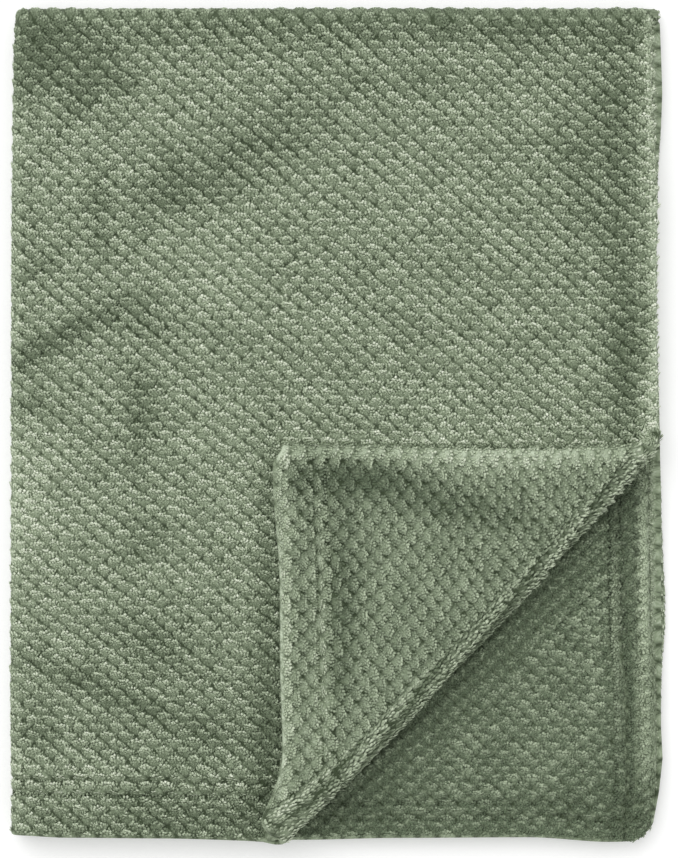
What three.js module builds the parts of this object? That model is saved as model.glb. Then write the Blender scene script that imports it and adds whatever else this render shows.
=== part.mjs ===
// Throw blanket, folded flat: one hemmed sheet of plush popcorn fleece, 1.48 m by 1.28 m when spread out.
// It is folded in thirds across (the right third under the middle, then the left third under both) and
// then in half along, which makes a pad of six layers. The front corner on the right is turned back as
// one flap of two layers, so it shows the hemmed corner of the layer below.
// Millimetres, +Z up. X runs across the pad, Y from its hemmed front edge to its folded back edge.
// The origin is on the ground under the middle of the pad.
import * as THREE from "three";

// ---- Driving dimensions ----
const THICKNESS = 4.0; // the sheet, pile to pile
const LAYER_GAP = 0.7; // air between two layers of the pad
const PITCH = THICKNESS + LAYER_GAP;

const PAD_WIDTH = 497; // outside of the left fold to outside of the right fold of the top layer
const PAD_LENGTH = 639; // hemmed front edge to outside of the back fold
const TUCKED_EDGE = 9; // the hidden third stops this far short of the left fold

const HEM_DEPTH = 40;
const HEM_SWELL = 0.22; // how much higher the pad stands along its front hems
const SIDE_SWELL = 0.05; // and along the two hems inside its right side
const EDGE_ROUND = 2.2; // the free edges narrow over this width
const EDGE_SHARE = 0.4; // to this share of the thickness
const CORNER_ROUND = 14;

// The turned back corner: where its fold line cuts the right and the front edge of the pad, over what
// distance the turned cloth comes down from the bend to lie on the pad, and how far its tip is from the
// fold line. The tip is pulled to the right and to the back, which straightens the flap's two edges.
const FLAP = { alongRight: 304, alongFront: 287, settle: 90, reach: 207, pullRight: 11.5, pullBack: 17 };

// The flap's front end spreads to the left: how far, and how far from the front edge that reaches.
const FLAP_FLARE = { toLeft: 25, reach: 65 };

// The inner radius of that bend and how far its line bows towards the corner, from the front edge of the
// pad (share 0) to its right side (share 1).
const FLAP_BEND = [
  { share: 0, radius: 10.0 },
  { share: 0.3, radius: 6.5 },
  { share: 0.75, radius: 5.5 },
  { share: 1, radius: 7.0 },
];
const FLAP_BOW = [
  { share: 0, bow: 0 },
  { share: 0.15, bow: 1.5 },
  { share: 0.36, bow: 2 },
  { share: 0.63, bow: 4 },
  { share: 0.88, bow: 2 },
  { share: 1, bow: 0 },
];

// How far each layer reaches past the nominal right side, from the front edge (y = 0) to the back.
const RIGHT_SIDE = [
  { y: 0, topFold: 0, upperHem: -4, lowerHem: 0, bottomFold: -3 },
  { y: 45, topFold: 1, upperHem: -1, lowerHem: 3, bottomFold: 3 },
  { y: 62, topFold: 1, upperHem: -1, lowerHem: 6, bottomFold: 3.5 },
  { y: 80, topFold: 1, upperHem: -1, lowerHem: 4, bottomFold: 4 },
  { y: 110, topFold: 1, upperHem: -1, lowerHem: 4, bottomFold: 5 },
  { y: 170, topFold: 1, upperHem: -3, lowerHem: 4, bottomFold: 8 },
  { y: 260, topFold: 1, upperHem: -6, lowerHem: 4, bottomFold: 5 },
  { y: 310, topFold: 1, upperHem: -7, lowerHem: 3, bottomFold: 3 },
  { y: 415, topFold: 0, upperHem: -6, lowerHem: 0, bottomFold: 0 },
  { y: 490, topFold: 0.5, upperHem: -4, lowerHem: 0, bottomFold: 2 },
  { y: 570, topFold: -3, upperHem: -5, lowerHem: 5, bottomFold: 5 },
  { y: 639, topFold: -4, upperHem: -5, lowerHem: 3, bottomFold: 2 },
];

// How far the front edge reaches past y = 0, and the left fold past x = 0, across and along the pad.
const FRONT_EDGE = [
  { at: 0, reach: -4 },
  { at: 45, reach: -2 },
  { at: 110, reach: -1.5 },
  { at: 220, reach: 1 },
  { at: 300, reach: -0.5 },
  { at: 400, reach: -1 },
  { at: 465, reach: 2.5 },
  { at: 482, reach: 2 },
  { at: 497, reach: -6 },
];
const LEFT_FOLD = [
  { at: 0, reach: -1.5 },
  { at: 120, reach: 0 },
  { at: 300, reach: -0.5 },
  { at: 480, reach: -1 },
  { at: 600, reach: -2 },
  { at: 639, reach: -4 },
];

// Soft hollows and swells of the pad's upper side: middle, half widths, turn in degrees, and height.
const SWELLS = [
  { x: 255, y: 380, across: 170, along: 190, turn: 0, height: 3.0 },
  { x: 170, y: 490, across: 100, along: 40, turn: 38, height: -2.4 },
  { x: 110, y: 330, across: 22, along: 120, turn: 0, height: -2.2 },
  { x: 35, y: 370, across: 75, along: 17, turn: 25, height: -2.6 },
  { x: 30, y: 600, across: 60, along: 45, turn: 0, height: -3.2 },
  { x: 90, y: 115, across: 110, along: 26, turn: -26, height: -2.6 },
  { x: 470, y: 430, across: 16, along: 170, turn: 0, height: -2.8 },
  { x: 330, y: 262, across: 100, along: 16, turn: -10, height: -2.0 },
];

// ---- Mesh fineness ----
const CELL = 56; // of the flat stretches
const BEND_STEPS = { left: 6, right: 4, back: 8, flap: 7 };

// ---- Helpers ----
const clamp01 = (value) => Math.min(1, Math.max(0, value));
const ease = (value) => clamp01(value) ** 2 * (3 - 2 * clamp01(value));

// Reads a table of rows at a place along its first column, easing from row to row.
function readTable(rows, key, column, place) {
  if (place <= rows[0][key]) return rows[0][column];
  for (let i = 1; i < rows.length; i += 1) {
    const [before, after] = [rows[i - 1], rows[i]];
    if (place <= after[key]) {
      const share = ease((place - before[key]) / (after[key] - before[key]));
      return before[column] + share * (after[column] - before[column]);
    }
  }
  return rows[rows.length - 1][column];
}

// ---- The section across: lower third, left fold, middle third, right fold, hidden third ----
// Heights are counted outwards from the innermost layer: 0 is the lower third and 2 pitches the top.
const LEFT_RADIUS = PITCH;
const RIGHT_RADIUS = PITCH / 2;
const LEFT_CENTRE = LEFT_RADIUS + THICKNESS / 2;
const RIGHT_CENTRE = PAD_WIDTH - RIGHT_RADIUS - THICKNESS / 2;

const ACROSS = [
  { name: "lowerThird", length: PAD_WIDTH - LEFT_CENTRE },
  { name: "leftFold", length: Math.PI * LEFT_RADIUS },
  { name: "middleThird", length: RIGHT_CENTRE - LEFT_CENTRE },
  { name: "rightFold", length: Math.PI * RIGHT_RADIUS },
  { name: "hiddenThird", length: RIGHT_CENTRE - LEFT_CENTRE - TUCKED_EDGE },
];
let reached = 0;
for (const stretch of ACROSS) {
  stretch.start = reached;
  reached += stretch.length;
  stretch.end = reached;
}
const CLOTH_ACROSS = reached;
const [lowerThird, leftFold, middleThird, rightFold, hiddenThird] = ACROSS;

// Place (x, height) of the cloth at u across it, at a distance from its mid surface towards its face.
function section(u, out) {
  if (u <= lowerThird.end) return [PAD_WIDTH - u, -out];
  if (u <= leftFold.end) {
    const angle = (u - leftFold.start) / LEFT_RADIUS;
    const radius = LEFT_RADIUS + out;
    return [LEFT_CENTRE - radius * Math.sin(angle), LEFT_RADIUS - radius * Math.cos(angle)];
  }
  if (u <= middleThird.end) return [LEFT_CENTRE + u - middleThird.start, 2 * PITCH + out];
  if (u <= rightFold.end) {
    const angle = (u - rightFold.start) / RIGHT_RADIUS;
    const radius = RIGHT_RADIUS + out;
    return [RIGHT_CENTRE + radius * Math.sin(angle), 1.5 * PITCH + radius * Math.cos(angle)];
  }
  return [RIGHT_CENTRE - (u - hiddenThird.start), PITCH - out];
}

// ---- The fold at the back, which bends all three layers at once ----
const MIDDLE_Z = 2.5 * PITCH + THICKNESS / 2;
const BACK_RADIUS = 1.5 * PITCH; // of the middle one of the three layers
const BACK_CENTRE = PAD_LENGTH - 2.5 * PITCH - THICKNESS / 2;
const BACK_ARC = Math.PI * BACK_RADIUS;
const CLOTH_ALONG = 2 * BACK_CENTRE + BACK_ARC;

function foldBack(x, v, height) {
  const radius = PITCH / 2 + height;
  if (v <= BACK_CENTRE) return [x, v, MIDDLE_Z + radius];
  if (v <= BACK_CENTRE + BACK_ARC) {
    const angle = (v - BACK_CENTRE) / BACK_RADIUS;
    return [x, BACK_CENTRE + radius * Math.sin(angle), MIDDLE_Z + radius * Math.cos(angle)];
  }
  return [x, CLOTH_ALONG - v, MIDDLE_Z - radius];
}

// ---- The uneven outline: each height of the pad is moved sideways by its own amount ----
function rightReach(y, z) {
  const levels = [
    { z: PITCH, column: "bottomFold" },
    { z: 2.0 * PITCH + THICKNESS / 2, column: "lowerHem" },
    { z: 3.0 * PITCH + THICKNESS / 2, column: "upperHem" },
    { z: 4.0 * PITCH + THICKNESS / 2, column: "topFold" },
  ];
  const at = levels.map((level) => ({ z: level.z, reach: readTable(RIGHT_SIDE, "y", level.column, y) }));
  return readTable(at, "z", "reach", z);
}

function unevenOutline([x, y, z]) {
  const toRight = clamp01(x / PAD_WIDTH);
  const toFront = 1 - clamp01(y / PAD_LENGTH);
  const moveX = rightReach(y, z) * toRight ** 3 - readTable(LEFT_FOLD, "at", "reach", y) * (1 - toRight) ** 3;
  const moveY = -readTable(FRONT_EDGE, "at", "reach", x) * toFront ** 3;
  return [x + moveX, y + moveY, z];
}

// ---- The turned back corner ----
const FLAP_START = new THREE.Vector2(PAD_WIDTH - FLAP.alongFront, 0);
const FLAP_LINE = new THREE.Vector2(FLAP.alongFront, FLAP.alongRight);
const FLAP_ALONG = FLAP_LINE.clone().normalize();
const TO_CORNER = new THREE.Vector2(FLAP_ALONG.y, -FLAP_ALONG.x);
const TOP_LAYER_Z = MIDDLE_Z + 2.5 * PITCH;

// The radius and bow of the bend next to a point of the pad, and how far the point lies past its start.
function flapBend(x, y) {
  const fromStart = new THREE.Vector2(x, y).sub(FLAP_START);
  const share = fromStart.dot(FLAP_ALONG) / FLAP_LINE.length();
  const radius = readTable(FLAP_BEND, "share", "radius", share);
  const bow = readTable(FLAP_BOW, "share", "bow", share);
  const past = fromStart.dot(TO_CORNER) - bow + (Math.PI * radius) / 2;
  return { radius, bow, past };
}

// The two layers stand further apart on the flap's hem, as they turn over.
function turnBack([x, y, z], v) {
  const { radius, bow, past } = flapBend(x, y);
  if (past <= 0) return [x, y, z];
  const angle = Math.min(Math.PI, past / radius);
  const beyond = Math.max(0, past - Math.PI * radius);
  const hem = 1 - ease((v - HEM_DEPTH) / HEM_DEPTH);
  const ownRadius = radius + (TOP_LAYER_Z - z) * (1 + (HEM_SWELL * hem * angle) / Math.PI);
  const lying = ease(beyond / FLAP.settle);
  const step = ownRadius * Math.sin(angle) - beyond - past - 2 * bow * lying;
  const bent = [x + step * TO_CORNER.x, y + step * TO_CORNER.y];
  const far = clamp01(beyond / FLAP.reach);
  const toBack = clamp01(bent[1] / FLAP.alongRight);
  const toLeft = clamp01((PAD_WIDTH - bent[0]) / FLAP.alongFront);
  const pulledX = bent[0] + FLAP.pullRight * (1 - (1 - toBack) ** 2) * (1 - (1 - far) ** 2);
  const pulledY = bent[1] + FLAP.pullBack * toLeft * far;
  const frontEnd = clamp01(1 - pulledY / FLAP_FLARE.reach) ** 1.5 * ease((toLeft - 0.8) / 0.18);
  const turned = ease((2 * angle) / Math.PI - 1);
  return [
    pulledX - FLAP_FLARE.toLeft * frontEnd * turned,
    pulledY,
    TOP_LAYER_Z + radius - ownRadius * Math.cos(angle) - (2 * radius - PITCH) * lying,
  ];
}

// ---- Softness: hems stand thicker, and the upper side has its hollows and swells ----
function softness([x, y, z]) {
  const hems = HEM_SWELL * (1 - ease((y - HEM_DEPTH) / HEM_DEPTH));
  const sides = SIDE_SWELL * ease((x - PAD_WIDTH + 2 * HEM_DEPTH) / HEM_DEPTH);
  let lift = 0;
  for (const swell of SWELLS) {
    const turn = THREE.MathUtils.degToRad(swell.turn);
    const [dx, dy] = [x - swell.x, y - swell.y];
    const across = (dx * Math.cos(turn) + dy * Math.sin(turn)) / swell.across;
    const along = (dy * Math.cos(turn) - dx * Math.sin(turn)) / swell.along;
    lift += swell.height * Math.exp(-(across ** 2 + along ** 2));
  }
  return [x, y, z * (1 + hems + sides + lift / (TOP_LAYER_Z + THICKNESS / 2))];
}

// ---- From a point of the flat cloth to its place in the folded pad ----
// The cloth narrows to a rounded edge, and its four corners are rounded.
function fromEdge(u, v) {
  return Math.min(u, v, CLOTH_ACROSS - u, CLOTH_ALONG - v);
}

function roundCorner(u, v) {
  const across = (CORNER_ROUND - Math.min(u, CLOTH_ACROSS - u)) / CORNER_ROUND;
  const along = (CORNER_ROUND - Math.min(v, CLOTH_ALONG - v)) / CORNER_ROUND;
  if (across <= 0 || along <= 0) return [u, v];
  const pull = 1 - Math.max(across, along) / Math.hypot(across, along);
  const inU = pull * across * CORNER_ROUND * Math.sign(CLOTH_ACROSS / 2 - u);
  const inV = pull * along * CORNER_ROUND * Math.sign(CLOTH_ALONG / 2 - v);
  return [u + inU, v + inV];
}

const inFlapLayers = (u, v) => u >= middleThird.start && v <= BACK_CENTRE;

function place(u, v, side) {
  const half = (THICKNESS / 2) * (EDGE_SHARE + (1 - EDGE_SHARE) * ease(fromEdge(u, v) / EDGE_ROUND));
  const [cutU, cutV] = roundCorner(u, v);
  const [x, height] = section(cutU, side * half);
  let point = unevenOutline(foldBack(x, cutV, height));
  if (inFlapLayers(u, v)) point = turnBack(point, cutV);
  return softness(point);
}

// ---- The flat cloth, cut into cells that follow every fold ----
function stretchLines(start, end, steps) {
  return Array.from({ length: steps }, (_, i) => start + ((i + 1) * (end - start)) / steps);
}

function edgeLines(total) {
  const near = [EDGE_ROUND, CORNER_ROUND / 2, CORNER_ROUND, HEM_DEPTH];
  return [...near, ...near.map((inset) => total - inset)];
}

const flatSteps = (length) => Math.round(length / CELL);
const acrossSteps = {
  lowerThird: flatSteps(lowerThird.length),
  leftFold: BEND_STEPS.left,
  middleThird: flatSteps(middleThird.length),
  rightFold: BEND_STEPS.right,
  hiddenThird: flatSteps(hiddenThird.length),
};
const linesAcross = ACROSS.flatMap(({ name, start, end }) => stretchLines(start, end, acrossSteps[name]));
const linesAlong = [
  ...stretchLines(0, BACK_CENTRE, flatSteps(BACK_CENTRE)),
  ...stretchLines(BACK_CENTRE, BACK_CENTRE + BACK_ARC, BEND_STEPS.back),
  ...stretchLines(BACK_CENTRE + BACK_ARC, CLOTH_ALONG, flatSteps(BACK_CENTRE)),
];
const turnsOfFlap = stretchLines(0, Math.PI, BEND_STEPS.flap);
const settleSteps = [FLAP.settle / 3, (2 * FLAP.settle) / 3, FLAP.settle];

// Splits every cell where a function of (u, v) changes sign. Neighbours share the points that this adds.
function splitCells(cells, sideOf) {
  const split = [];
  for (const cell of cells) {
    const sides = cell.map(([u, v]) => sideOf(u, v));
    const parts = [[], []];
    cell.forEach((corner, i) => {
      const next = (i + 1) % cell.length;
      if (sides[i] <= 0) parts[0].push(corner);
      if (sides[i] >= 0) parts[1].push(corner);
      if (sides[i] * sides[next] < 0) {
        const share = sides[i] / (sides[i] - sides[next]);
        const between = corner.map((value, axis) => value + share * (cell[next][axis] - value));
        parts[0].push(between);
        parts[1].push(between);
      }
    });
    split.push(...parts.filter((part) => part.length > 2));
  }
  return split;
}

function clothCells() {
  let cells = [
    [
      [0, 0],
      [CLOTH_ACROSS, 0],
      [CLOTH_ACROSS, CLOTH_ALONG],
      [0, CLOTH_ALONG],
    ],
  ];
  const tidy = 1e-6;
  const snap = (value) => (Math.abs(value) < tidy ? 0 : value);
  for (const line of [...linesAcross, ...edgeLines(CLOTH_ACROSS)]) {
    cells = splitCells(cells, (u) => snap(u - line));
  }
  for (const line of [...linesAlong, ...edgeLines(CLOTH_ALONG)]) {
    cells = splitCells(cells, (u, v) => snap(v - line));
  }
  const bendAt = (u, v) => flapBend(...unevenOutline(foldBack(section(u, 0)[0], v, section(u, 0)[1])));
  const flapLines = [
    ({ past }) => past,
    ...turnsOfFlap.map((turn) => ({ radius, past }) => past - turn * radius),
    ...settleSteps.map((step) => ({ radius, past }) => past - Math.PI * radius - step),
  ];
  for (const line of flapLines) {
    cells = splitCells(cells, (u, v) => (inFlapLayers(u, v) ? snap(line(bendAt(u, v))) : -1));
  }
  return cells;
}

// ---- The solid: the face, the back, and a narrow wall round the edge ----
function clothGeometry() {
  const numberOf = new Map();
  const corners = [];
  const cells = clothCells().map((cell) =>
    cell.map(([u, v]) => {
      const key = `${u.toFixed(3)},${v.toFixed(3)}`;
      if (!numberOf.has(key)) {
        numberOf.set(key, corners.length);
        corners.push([u, v]);
      }
      return numberOf.get(key);
    }),
  );
  const count = corners.length;
  const positions = [
    ...corners.flatMap(([u, v]) => place(u, v, 1)),
    ...corners.flatMap(([u, v]) => place(u, v, -1)),
  ];
  const faces = [];
  const edgeUses = new Map();
  for (const cell of cells) {
    for (let i = 1; i < cell.length - 1; i += 1) {
      const [a, b, c] = [cell[0], cell[i], cell[i + 1]];
      faces.push(a, b, c, count + a, count + c, count + b);
    }
    cell.forEach((from, i) => {
      const to = cell[(i + 1) % cell.length];
      const key = `${Math.min(from, to)},${Math.max(from, to)}`;
      edgeUses.set(key, edgeUses.has(key) ? null : [from, to]);
    });
  }
  for (const edge of edgeUses.values()) {
    if (!edge) continue;
    const [from, to] = edge;
    faces.push(from, count + from, to, to, count + from, count + to);
  }
  const geometry = new THREE.BufferGeometry();
  geometry.setAttribute("position", new THREE.Float32BufferAttribute(positions, 3));
  geometry.setIndex(faces);
  geometry.computeVertexNormals();
  return geometry;
}

// ---- The part ----
const fleece = new THREE.MeshStandardMaterial({ color: "#7d8972", roughness: 0.95, metalness: 0 });
const throwBlanket = new THREE.Mesh(clothGeometry(), fleece);
throwBlanket.name = "throw_blanket";

// Centre the pad over the origin, standing on z = 0.
throwBlanket.geometry.computeBoundingBox();
const box = throwBlanket.geometry.boundingBox;
throwBlanket.position.set(-(box.min.x + box.max.x) / 2, -(box.min.y + box.max.y) / 2, -box.min.z);

const part = new THREE.Group();
part.add(throwBlanket);
export default part;
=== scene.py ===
import math

import bpy
import numpy as np
from mathutils import Matrix, Vector


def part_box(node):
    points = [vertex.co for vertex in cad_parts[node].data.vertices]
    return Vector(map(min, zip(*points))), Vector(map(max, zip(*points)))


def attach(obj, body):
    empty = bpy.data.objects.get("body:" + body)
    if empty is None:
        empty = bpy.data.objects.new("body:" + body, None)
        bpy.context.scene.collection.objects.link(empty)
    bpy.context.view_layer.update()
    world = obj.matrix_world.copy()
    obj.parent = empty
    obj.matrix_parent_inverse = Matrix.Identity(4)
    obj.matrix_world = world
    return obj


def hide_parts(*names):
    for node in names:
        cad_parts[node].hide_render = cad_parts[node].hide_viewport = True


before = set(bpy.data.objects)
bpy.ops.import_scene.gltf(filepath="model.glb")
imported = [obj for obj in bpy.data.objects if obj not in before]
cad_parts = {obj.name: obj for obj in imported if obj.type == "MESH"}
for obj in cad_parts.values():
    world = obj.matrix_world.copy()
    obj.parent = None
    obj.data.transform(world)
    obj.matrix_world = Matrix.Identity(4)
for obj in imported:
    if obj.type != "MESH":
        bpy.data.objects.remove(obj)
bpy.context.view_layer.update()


# ---- The cloth: how the throw is folded ----
# One sheet of plush fleece. The right third is folded under the middle one, then the left third under
# both, and the long strip is folded in half, away from the hemmed front edge. Sizes are in metres, but
# for the tables that say millimetres. Across the cloth runs u, along it v, and w goes out of its face.
SHEET = 0.0040  # thickness, pile to pile
AIR = 0.0007  # between two layers
PITCH = SHEET + AIR

pad_low, pad_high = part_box("throw_blanket")
PAD_WIDTH = 0.497
PAD_LENGTH = 0.639
TUCKED_EDGE = 0.009  # the hidden third stops this far short of the left fold
HEM_DEPTH = 0.040
HEM_SWELL = 0.22
SIDE_SWELL = 0.05


def ease(value):
    value = np.clip(value, 0.0, 1.0)
    return value * value * (3 - 2 * value)


def read_rows(rows, place):
    """The second number of each row, eased from row to row along the first."""
    at, amount = np.array(rows, float).T
    row = np.clip(np.searchsorted(at, place) - 1, 0, len(at) - 2)
    share = ease((place - at[row]) / (at[row + 1] - at[row]))
    return amount[row] + share * (amount[row + 1] - amount[row])


LEFT_RADIUS = PITCH
RIGHT_RADIUS = PITCH / 2
LEFT_CENTRE = LEFT_RADIUS + SHEET / 2
RIGHT_CENTRE = PAD_WIDTH - RIGHT_RADIUS - SHEET / 2
LOWER_THIRD = PAD_WIDTH - LEFT_CENTRE
LEFT_FOLD = LOWER_THIRD + math.pi * LEFT_RADIUS
MIDDLE_THIRD = LEFT_FOLD + RIGHT_CENTRE - LEFT_CENTRE
RIGHT_FOLD = MIDDLE_THIRD + math.pi * RIGHT_RADIUS
CLOTH_ACROSS = RIGHT_FOLD + RIGHT_CENTRE - LEFT_CENTRE - TUCKED_EDGE

MIDDLE_Z = 2.5 * PITCH + SHEET / 2
BACK_RADIUS = 1.5 * PITCH
BACK_CENTRE = PAD_LENGTH - 2.5 * PITCH - SHEET / 2
BACK_FOLD = BACK_CENTRE + math.pi * BACK_RADIUS
CLOTH_ALONG = BACK_CENTRE + BACK_FOLD
TOP_LAYER_Z = MIDDLE_Z + 2.5 * PITCH


def fold_in_thirds(u, w):
    """Place across the strip and height in it, for the cloth at u, w away from its middle surface."""
    left_turn = (u - LOWER_THIRD) / LEFT_RADIUS
    right_turn = (u - MIDDLE_THIRD) / RIGHT_RADIUS
    stretch = [u <= LOWER_THIRD, u <= LEFT_FOLD, u <= MIDDLE_THIRD, u <= RIGHT_FOLD, u > RIGHT_FOLD]
    x = np.select(stretch, [
        PAD_WIDTH - u,
        LEFT_CENTRE - (LEFT_RADIUS + w) * np.sin(left_turn),
        LEFT_CENTRE + u - LEFT_FOLD,
        RIGHT_CENTRE + (RIGHT_RADIUS + w) * np.sin(right_turn),
        RIGHT_CENTRE - (u - RIGHT_FOLD),
    ])
    height = np.select(stretch, [
        -w,
        LEFT_RADIUS - (LEFT_RADIUS + w) * np.cos(left_turn),
        2 * PITCH + w,
        1.5 * PITCH + (RIGHT_RADIUS + w) * np.cos(right_turn),
        PITCH - w,
    ])
    return x, height


def fold_in_half(v, height):
    radius = PITCH / 2 + height
    turn = np.clip((v - BACK_CENTRE) / BACK_RADIUS, 0, math.pi)
    y = np.where(v > BACK_FOLD, CLOTH_ALONG - v, np.minimum(v, BACK_CENTRE) + radius * np.sin(turn))
    return y, MIDDLE_Z + radius * np.cos(turn)


def metres(millimetres):
    return np.array(millimetres, float) / 1000


# How far each layer reaches past the straight sides of the pad: (millimetres along that side, reach).
TOP_FOLD_REACH = metres([(0, 0), (45, 1), (310, 1), (415, 0), (490, 0.5), (570, -3), (639, -4)])
UPPER_HEM_REACH = metres([(0, -4), (45, -1), (110, -1), (170, -7.5), (260, -9), (310, -7), (415, -6),
    (490, -4), (570, -5), (639, -5)])
LOWER_HEM_REACH = metres([(0, 0), (45, 3), (62, 6), (80, 4), (110, 4), (170, 4), (260, 4), (310, 3),
    (415, 0), (490, 0), (570, 5), (639, 3)])
BOTTOM_FOLD_REACH = metres([(0, -3), (45, 3), (110, 5), (170, 8), (260, 5), (310, 3), (415, 0), (490, 2),
    (570, 5), (639, 2)])
FRONT_EDGE_REACH = metres([(0, -4), (45, -2), (110, -1.5), (220, 1), (300, -0.5), (400, -1), (465, 2.5),
    (482, 2), (497, -6)])
LEFT_FOLD_REACH = metres([(0, -1.5), (120, 0), (300, -0.5), (480, -1), (600, -2), (639, -4)])


def uneven_outline(x, y, z):
    to_right = np.clip(x / PAD_WIDTH, 0, 1)
    to_front = 1 - np.clip(y / PAD_LENGTH, 0, 1)
    levels = [PITCH, 2 * PITCH + SHEET / 2, 3 * PITCH + SHEET / 2, 4 * PITCH + SHEET / 2]
    reaches = [read_rows(rows, y)
               for rows in (BOTTOM_FOLD_REACH, LOWER_HEM_REACH, UPPER_HEM_REACH, TOP_FOLD_REACH)]
    right = reaches[0]
    for below, above, reach in zip(levels, levels[1:], reaches[1:]):
        right = right + ease((z - below) / (above - below)) * (reach - right)
    left = read_rows(LEFT_FOLD_REACH, y)
    front = read_rows(FRONT_EDGE_REACH, x)
    return x + right * to_right**3 - left * (1 - to_right) ** 3, y - front * to_front**3, z


# The front right corner of the two top layers is turned back over this line, which bows a little. From
# its end at the front to its end at the side: (share of its length, radius of the bend), (share, bow).
FLAP_ALONG_RIGHT = 0.304
FLAP_ALONG_FRONT = 0.287
FLAP_BEND = [(0, 0.0100), (0.3, 0.0065), (0.75, 0.0055), (1, 0.0070)]
FLAP_BOW = [(0, 0), (0.15, 0.0025), (0.36, 0.0035), (0.63, 0.003), (0.88, 0.0005), (1, 0)]
FLAP_SETTLE = 0.090  # past the bend, where the flap has come down onto the pad
FLAP_REACH = 0.207  # of its corner from the fold line
FLAP_PULL = (0.0100, 0.017)  # of the corner to the right and to the back, which straightens both edges
FLAP_FLARE = (0.025, 0.065)  # how far its front end spreads to the left, and how far back that reaches
FLAP_EDGES = (0.2105, 0.2965)  # x of its left edge and y of its back edge, where they lie on the pad
flap_line = Vector((FLAP_ALONG_FRONT, FLAP_ALONG_RIGHT))
flap_way = flap_line.normalized()
to_corner = Vector((flap_way.y, -flap_way.x))


def flap_bend(x, y):
    """Radius and bow of the bend next to a place on the pad, and how far that place is past its start."""
    from_x = x - (PAD_WIDTH - FLAP_ALONG_FRONT)
    share = (from_x * flap_way.x + y * flap_way.y) / flap_line.length
    radius, bow = read_rows(FLAP_BEND, share), read_rows(FLAP_BOW, np.clip(share, 0, 1))
    return radius, bow, from_x * to_corner.x + y * to_corner.y - bow + math.pi * radius / 2


def turn_back(x, y, z, hem):
    radius, bow, past = flap_bend(x, y)
    turn = np.clip(past / radius, 0, math.pi)
    beyond = np.maximum(0, past - math.pi * radius)
    depth = (TOP_LAYER_Z - z) * (1 + HEM_SWELL * hem * turn / math.pi)
    lying = ease(beyond / FLAP_SETTLE)
    settled = (2 * radius - PITCH) * lying
    step = (radius + depth) * np.sin(turn) - beyond - past - 2 * bow * lying
    bent_x, bent_y = x + step * to_corner.x, y + step * to_corner.y
    far = np.clip(beyond / FLAP_REACH, 0, 1)
    to_back = np.clip(bent_y / FLAP_ALONG_RIGHT, 0, 1)
    to_left = np.clip((PAD_WIDTH - bent_x) / FLAP_ALONG_FRONT, 0, 1)
    bent_x = bent_x + FLAP_PULL[0] * (1 - (1 - to_back) ** 2) * (1 - (1 - far) ** 2)
    bent_y = bent_y + FLAP_PULL[1] * to_left * far
    flare = FLAP_FLARE[0] * np.clip(1 - bent_y / FLAP_FLARE[1], 0, 1) ** 1.5
    bent_x = bent_x - flare * ease(2 * turn / math.pi - 1) * ease((to_left - 0.80) / 0.18)
    bent = past > 0
    return (np.where(bent, bent_x, x), np.where(bent, bent_y, y),
            np.where(bent, TOP_LAYER_Z + radius - (radius + depth) * np.cos(turn) - settled, z))


# Soft creases and swells of the folded pad, in millimetres.
PAD_SWELLS = [  # middle x and y, half length, half width, turn of its length in degrees, height
    (255, 380, 170, 190, 0, 3),
    (170, 490, 100, 40, 38, -2.4),
    (110, 330, 22, 120, 0, -2.2),
    (35, 370, 75, 17, 25, -2.6),
    (30, 600, 60, 45, 0, -3.2),
    (90, 115, 110, 26, -26, -2.6),
    (470, 430, 16, 170, 0, -2.8),
    (330, 262, 100, 16, -10, -2),
]


def soft_patch(x, y, *sizes, turn):
    """1 in the middle of a long soft patch, and down to 0 round it."""
    middle_x, middle_y, length, width = metres(sizes)
    cos, sin = math.cos(math.radians(turn)), math.sin(math.radians(turn))
    off_x, off_y = x - middle_x, y - middle_y
    reach = ((off_x * cos + off_y * sin) / length) ** 2 + ((off_y * cos - off_x * sin) / width) ** 2
    return np.exp(-reach)


def soften(x, y, z):
    hems = HEM_SWELL * (1 - ease((y - HEM_DEPTH) / HEM_DEPTH))
    sides = SIDE_SWELL * ease((x - PAD_WIDTH + 2 * HEM_DEPTH) / HEM_DEPTH)
    lift = sum(height / 1000 * soft_patch(x, y, *sizes, turn=turn) for *sizes, turn, height in PAD_SWELLS)
    return x, y, z * (1 + hems + sides + lift / (TOP_LAYER_Z + SHEET / 2))


CORNER_ROUND = 0.014


def round_corners(u, v):
    across = np.maximum(0, CORNER_ROUND - np.minimum(u, CLOTH_ACROSS - u))
    along = np.maximum(0, CORNER_ROUND - np.minimum(v, CLOTH_ALONG - v))
    pull = 1 - np.maximum(across, along) / np.maximum(np.hypot(across, along), 1e-9)
    pull = np.where((across > 0) & (along > 0), pull, 0)
    return (u + pull * across * np.sign(CLOTH_ACROSS / 2 - u),
            v + pull * along * np.sign(CLOTH_ALONG / 2 - v))


def in_flap_layers(u, v):
    return (u >= LEFT_FOLD) & (v <= BACK_CENTRE)


def flat_pad(u, v, w):
    """Place in the pad before its corner is turned back."""
    u, v = round_corners(u, v)
    x, height = fold_in_thirds(u, w)
    y, z = fold_in_half(v, height)
    return uneven_outline(x, y, z)


def beside_bend(u, v):
    """Place in the pad before its corner is turned back, and the radius there and how far past the bend."""
    x, y, _ = flat_pad(u, v, np.zeros_like(u))
    radius, _, past = flap_bend(x, y)
    return x, y, radius, past


def folded(u, v, w):
    x, y, z = flat_pad(u, v, w)
    hem = 1 - ease((v - HEM_DEPTH) / HEM_DEPTH)
    turned = turn_back(x, y, z, hem)
    in_flap = in_flap_layers(u, v)
    x, y, z = (np.where(in_flap, after, before) for after, before in zip(turned, (x, y, z)))
    return np.stack(soften(x, y, z), axis=-1)


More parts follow.
